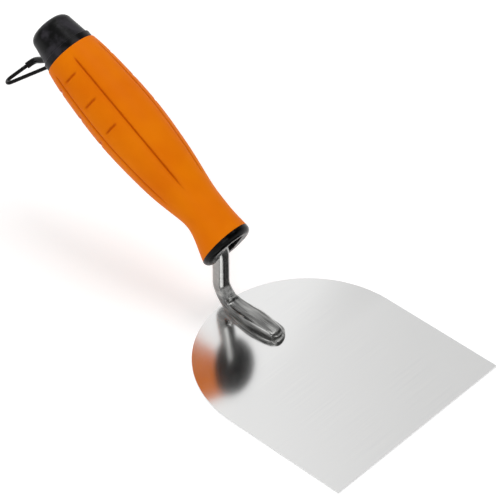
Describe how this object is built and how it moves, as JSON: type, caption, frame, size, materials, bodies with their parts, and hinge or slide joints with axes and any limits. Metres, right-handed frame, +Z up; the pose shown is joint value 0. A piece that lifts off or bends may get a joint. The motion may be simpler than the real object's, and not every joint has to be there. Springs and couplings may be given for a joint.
{
  "type": "plasterer's spatula trowel",
  "caption": "Flat round-backed stainless blade on a forged goose-neck shank, with a panelled two-component handle and a small sprung carabiner on its end cap.",
  "frame": {"origin": "on the blade's underside, at the centre of its half-round back", "axes": "+X towards the straight working edge, +Y to the tool's left, +Z up, away from the worked wall"},
  "size_m": [0.2778, 0.12, 0.1244],
  "materials": {
    "blade_steel": "rolled stainless sheet, satin",
    "shank_steel": "forged and polished neck, darker forged foot",
    "core_plastic": "moulded, out of sight",
    "grip_rubber": "orange soft overmould, satin",
    "ferrule_plastic": "black moulded, half gloss",
    "cap_plastic": "black moulded, fine grain",
    "clip_black": "black coated wire and cast gate",
    "pin_steel": "plain"
  },
  "bodies": {
    "tool": {"blade": "blade_steel", "shank": "shank_steel", "handle_core": "core_plastic", "front_ferrule": "ferrule_plastic", "grip_sleeve": "grip_rubber", "end_cap": "cap_plastic"},
    "carabiner": {"carabiner_body": "clip_black", "gate_pin": "pin_steel"},
    "gate": {"carabiner_gate": "clip_black", "gate_spring": "pin_steel"}
  },
  "joints": [
    {"name": "carabiner_swing", "type": "hinge", "parent": "tool", "child": "carabiner", "pos_m": [-0.18094, 0, 0.0938], "axis": [0, 1, 0], "range_deg": [-108, 68]},
    {"name": "gate_pivot", "type": "hinge", "parent": "carabiner", "child": "gate", "pos_m": [-0.18795, 0.00259, 0.09068], "axis": [-0.4651, -0.2335, 0.8539], "range_deg": [0, 32], "stiffness_Nm_per_rad": 0.02, "springref_deg": -17.19, "deforming": ["gate_spring"]}
  ]
}
